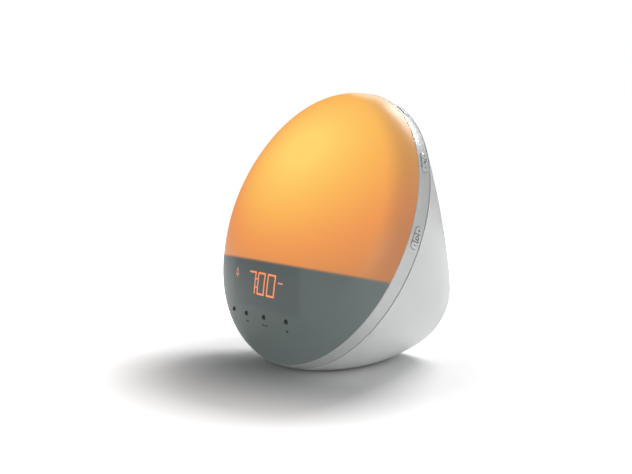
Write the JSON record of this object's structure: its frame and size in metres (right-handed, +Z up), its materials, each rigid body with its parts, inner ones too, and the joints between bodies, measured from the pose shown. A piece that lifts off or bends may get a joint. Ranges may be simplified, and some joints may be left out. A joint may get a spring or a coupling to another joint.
{
  "type": "sunrise alarm clock",
  "caption": "Round bedside lamp and clock: a domed light over a digit display in a leaning silver ring, with a tapered rear housing and small push keys.",
  "frame": {"origin": "middle of the foot's resting face", "axes": "+Z up, the lit dome faces -Y, +X to the right of someone facing the clock"},
  "size_m": [0.1938, 0.1534, 0.1856],
  "materials": {
    "diffuser": "frosted translucent plastic, lit from inside",
    "silver_plastic": "satin silver paint on plastic",
    "silver_key": "satin silver paint on plastic",
    "white_plastic": "satin moulded plastic",
    "dark_rubber": "matt",
    "key_rubber": "matt",
    "frame_plastic": "moulded plastic",
    "reflector_white": "white gloss",
    "white_board": "white solder mask",
    "green_board": "green solder mask",
    "warm_led": "lit lens",
    "amber_led": "lit lens",
    "black_plastic": "moulded plastic",
    "lit_segment": "lit light pipe",
    "switch_body": "moulded plastic",
    "flex_film": "amber film",
    "can_aluminium": "plain can",
    "lead_red": "wire insulation",
    "lead_black": "wire insulation",
    "speaker_steel": "black steel",
    "magnet_ferrite": "ferrite",
    "screw_steel": "plain steel",
    "cone_paper": "pressed paper"
  },
  "bodies": {
    "clock_body": {"front_diffuser": "diffuser", "bezel_ring": "silver_plastic", "rear_housing": "white_plastic", "base_foot": "dark_rubber", "mid_frame": "frame_plastic", "led_board": "white_board", "warm_leds": "warm_led", "amber_leds": "amber_led", "light_reflector": "reflector_white", "light_partition": "frame_plastic", "display_board": "green_board", "display_module": "black_plastic", "display_segments": "lit_segment", "front_key_switches": "switch_body", "ring_key_boards": "green_board", "ring_key_switches": "switch_body", "key_flex": "flex_film", "main_board": "green_board", "board_chips": "black_plastic", "board_capacitors": "can_aluminium", "display_ribbon": "flex_film", "led_lead": "lead_red", "speaker_lead": "lead_black", "inlet_lead": "lead_black", "speaker_gasket": "dark_rubber", "speaker_frame": "speaker_steel", "speaker_magnet": "magnet_ferrite", "dc_jack": "black_plastic", "frame_screws": "screw_steel", "housing_screws": "screw_steel", "board_screws": "screw_steel"},
    "lamp_plus_key": {"lamp_plus_key": "silver_key"},
    "lamp_key": {"lamp_key": "silver_key"},
    "lamp_minus_key": {"lamp_minus_key": "silver_key"},
    "sound_plus_key": {"sound_plus_key": "silver_key"},
    "sound_key": {"sound_key": "silver_key"},
    "sound_minus_key": {"sound_minus_key": "silver_key"},
    "alarm_one_key": {"alarm_one_key": "silver_key"},
    "alarm_two_key": {"alarm_two_key": "silver_key"},
    "front_key_one": {"front_key_one": "key_rubber"},
    "front_key_two": {"front_key_two": "key_rubber"},
    "front_key_three": {"front_key_three": "key_rubber"},
    "front_key_four": {"front_key_four": "key_rubber"},
    "speaker_cone": {"speaker_cone": "cone_paper"}
  },
  "joints": [
    {"name": "lamp_plus_key_press", "type": "slide", "parent": "clock_body", "child": "lamp_plus_key", "axis": [-1, 0, 0], "range_m": [0, 0.0006], "stiffness_N_per_m": 600, "springref_m": -0.0003},
    {"name": "lamp_key_press", "type": "slide", "parent": "clock_body", "child": "lamp_key", "axis": [-1, 0, 0], "range_m": [0, 0.0006], "stiffness_N_per_m": 600, "springref_m": -0.0003},
    {"name": "lamp_minus_key_press", "type": "slide", "parent": "clock_body", "child": "lamp_minus_key", "axis": [-1, 0, 0], "range_m": [0, 0.0006], "stiffness_N_per_m": 600, "springref_m": -0.0003},
    {"name": "sound_plus_key_press", "type": "slide", "parent": "clock_body", "child": "sound_plus_key", "axis": [-0.866, -0.1767, -0.4677], "range_m": [0, 0.0006], "stiffness_N_per_m": 600, "springref_m": -0.0003},
    {"name": "sound_key_press", "type": "slide", "parent": "clock_body", "child": "sound_key", "axis": [-0.866, -0.1767, -0.4677], "range_m": [0, 0.0006], "stiffness_N_per_m": 600, "springref_m": -0.0003},
    {"name": "sound_minus_key_press", "type": "slide", "parent": "clock_body", "child": "sound_minus_key", "axis": [-0.866, -0.1767, -0.4677], "range_m": [0, 0.0006], "stiffness_N_per_m": 600, "springref_m": -0.0003},
    {"name": "alarm_one_key_press", "type": "slide", "parent": "clock_body", "child": "alarm_one_key", "axis": [-0.5, -0.3061, -0.8101], "range_m": [0, 0.0006], "stiffness_N_per_m": 600, "springref_m": -0.0003},
    {"name": "alarm_two_key_press", "type": "slide", "parent": "clock_body", "child": "alarm_two_key", "axis": [0.5, -0.3061, -0.8101], "range_m": [0, 0.0006], "stiffness_N_per_m": 600, "springref_m": -0.0003},
    {"name": "front_key_one_press", "type": "slide", "parent": "clock_body", "child": "front_key_one", "axis": [0, 0.9354, -0.3535], "range_m": [0, 0.0006], "stiffness_N_per_m": 600, "springref_m": -0.0003},
    {"name": "front_key_two_press", "type": "slide", "parent": "clock_body", "child": "front_key_two", "axis": [0, 0.9354, -0.3535], "range_m": [0, 0.0006], "stiffness_N_per_m": 600, "springref_m": -0.0003},
    {"name": "front_key_three_press", "type": "slide", "parent": "clock_body", "child": "front_key_three", "axis": [0, 0.9354, -0.3535], "range_m": [0, 0.0006], "stiffness_N_per_m": 600, "springref_m": -0.0003},
    {"name": "front_key_four_press", "type": "slide", "parent": "clock_body", "child": "front_key_four", "axis": [0, 0.9354, -0.3535], "range_m": [0, 0.0006], "stiffness_N_per_m": 600, "springref_m": -0.0003},
    {"name": "speaker_cone_stroke", "type": "slide", "parent": "clock_body", "child": "speaker_cone", "axis": [0, 0.9135, -0.4067], "range_m": [-0.0006, 0.0006], "stiffness_N_per_m": 1500}
  ]
}
